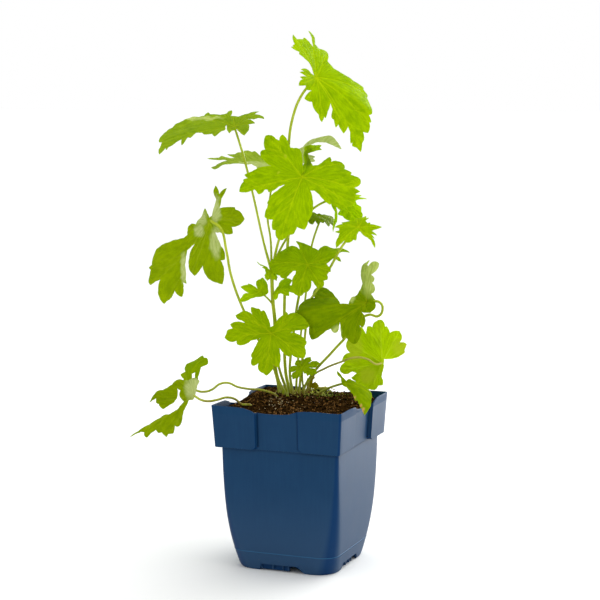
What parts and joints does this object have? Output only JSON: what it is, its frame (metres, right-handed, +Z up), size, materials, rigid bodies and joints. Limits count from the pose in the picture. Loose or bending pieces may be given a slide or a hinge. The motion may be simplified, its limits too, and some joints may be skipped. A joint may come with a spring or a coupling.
{
  "type": "potted delphinium",
  "caption": "Young leafy delphinium on long bare stalks, rooted in dark soil in a square plastic nursery pot that stands on its flat foot.",
  "frame": {"origin": "middle of the pot's foot, on the ground", "axes": "+Z up through the plant, +X and +Y square to the pot's sides"},
  "size_m": [0.2285, 0.1629, 0.5012],
  "materials": {
    "pot_plastic": "satin navy-blue moulded polypropylene",
    "soil": "rough dark brown peat with fibres and pale grit",
    "leaf": "soft matt yellow-green leaf and stalk",
    "leaf_dark": "soft matt darker green leaf and stalk",
    "leaf_withered": "dry matt yellow-olive leaf"
  },
  "bodies": {
    "root": {"pot": "pot_plastic", "soil": "soil", "main_shoot": "leaf", "second_shoot": "leaf", "leaf_centre": "leaf", "leaf_right_light": "leaf", "leaf_back_small": "leaf", "leaf_left_hanging": "leaf", "leaf_front": "leaf", "leaf_right_dark": "leaf_dark", "leaf_right_low": "leaf", "leaf_over_rim": "leaf", "leaf_base_small": "leaf", "leaf_left_low_near": "leaf", "leaf_left_low_far": "leaf", "leaf_withered": "leaf_withered"}
  },
  "joints": []
}
